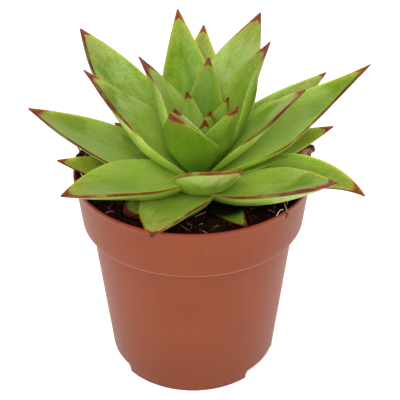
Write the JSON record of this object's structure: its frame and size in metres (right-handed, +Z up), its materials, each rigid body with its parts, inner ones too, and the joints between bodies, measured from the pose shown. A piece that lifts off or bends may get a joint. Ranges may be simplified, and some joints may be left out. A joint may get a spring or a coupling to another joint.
{
  "type": "potted succulent",
  "caption": "Rosette succulent with pointed fleshy leaves, red along their margins and tips, rooted in peat in a terracotta-coloured plastic nursery pot.",
  "frame": {"origin": "centre of the pot's base, on the ground", "axes": "+Z up along the pot's axis; -Y towards the front of the plant, +X to its right"},
  "size_m": [0.1512, 0.1229, 0.1529],
  "materials": {
    "pot": "satin",
    "soil": "matte",
    "stem": "matte",
    "bark": "matte",
    "leaf": "satin"
  },
  "bodies": {
    "root": {"pot": "pot", "soil": "soil", "stem": "stem", "bark_chip": "bark", "leaf_01": "leaf", "leaf_02": "leaf", "leaf_03": "leaf", "leaf_04": "leaf", "leaf_05": "leaf", "leaf_06": "leaf", "leaf_07": "leaf", "leaf_08": "leaf", "leaf_09": "leaf", "leaf_10": "leaf", "leaf_11": "leaf", "leaf_12": "leaf", "leaf_13": "leaf", "leaf_14": "leaf", "leaf_15": "leaf", "leaf_16": "leaf", "leaf_17": "leaf", "leaf_18": "leaf", "leaf_19": "leaf", "leaf_20": "leaf", "leaf_21": "leaf", "leaf_22": "leaf", "leaf_23": "leaf", "leaf_24": "leaf", "leaf_25": "leaf", "leaf_26": "leaf", "leaf_27": "leaf", "leaf_28": "leaf", "leaf_29": "leaf", "leaf_30": "leaf", "leaf_31": "leaf", "leaf_32": "leaf", "leaf_33": "leaf", "leaf_34": "leaf", "leaf_35": "leaf"}
  },
  "joints": []
}
